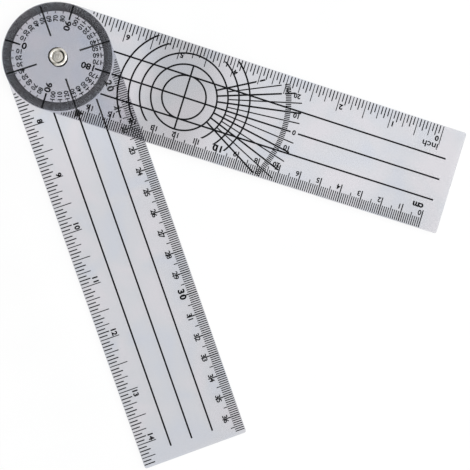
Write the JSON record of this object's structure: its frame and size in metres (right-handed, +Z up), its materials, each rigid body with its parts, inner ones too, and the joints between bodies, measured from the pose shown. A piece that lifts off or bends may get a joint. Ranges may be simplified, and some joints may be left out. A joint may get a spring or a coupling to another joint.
{
  "type": "goniometer",
  "caption": "Flat two-arm joint-angle ruler of clear sheet, with a full-circle dial at the rivet, a fan protractor and straight scales on both edges.",
  "frame": {"origin": "on the rivet's axis, at the flat underside of the rivet's foot", "axes": "+X from the rivet along the protractor arm's centre line to its free end, +Z up towards the reader along the rivet's axis"},
  "size_m": [0.2135, 0.1911, 0.0037],
  "materials": {
    "clear_pvc_upper": "clear rigid PVC sheet, faintly frosted",
    "clear_pvc_lower": "clear rigid PVC sheet, faintly frosted",
    "black_ink": "screen-printed black ink",
    "nickel_plate": "nickel plate, bright, slightly warm"
  },
  "bodies": {
    "protractor_arm": {"protractor_arm": "clear_pvc_upper", "rivet_post": "nickel_plate", "rivet_cap": "nickel_plate", "dial_degree_marks": "black_ink", "dial_ten_degree_marks": "black_ink", "dial_quadrant_lines": "black_ink", "fan_protractor_lines": "black_ink", "fan_degree_band": "black_ink", "protractor_arm_guide_lines": "black_ink", "protractor_arm_centimetre_marks": "black_ink", "protractor_arm_inch_marks": "black_ink"},
    "index_arm": {"index_arm": "clear_pvc_lower", "index_arrow": "black_ink", "index_cross_lines": "black_ink", "index_arm_guide_lines": "black_ink", "index_arm_centimetre_marks": "black_ink", "index_arm_inch_marks": "black_ink"}
  },
  "joints": [
    {"name": "arm_pivot", "type": "hinge", "parent": "protractor_arm", "child": "index_arm", "pos_m": [0, 0, 0], "axis": [0, 0, 1], "continuous": true}
  ]
}
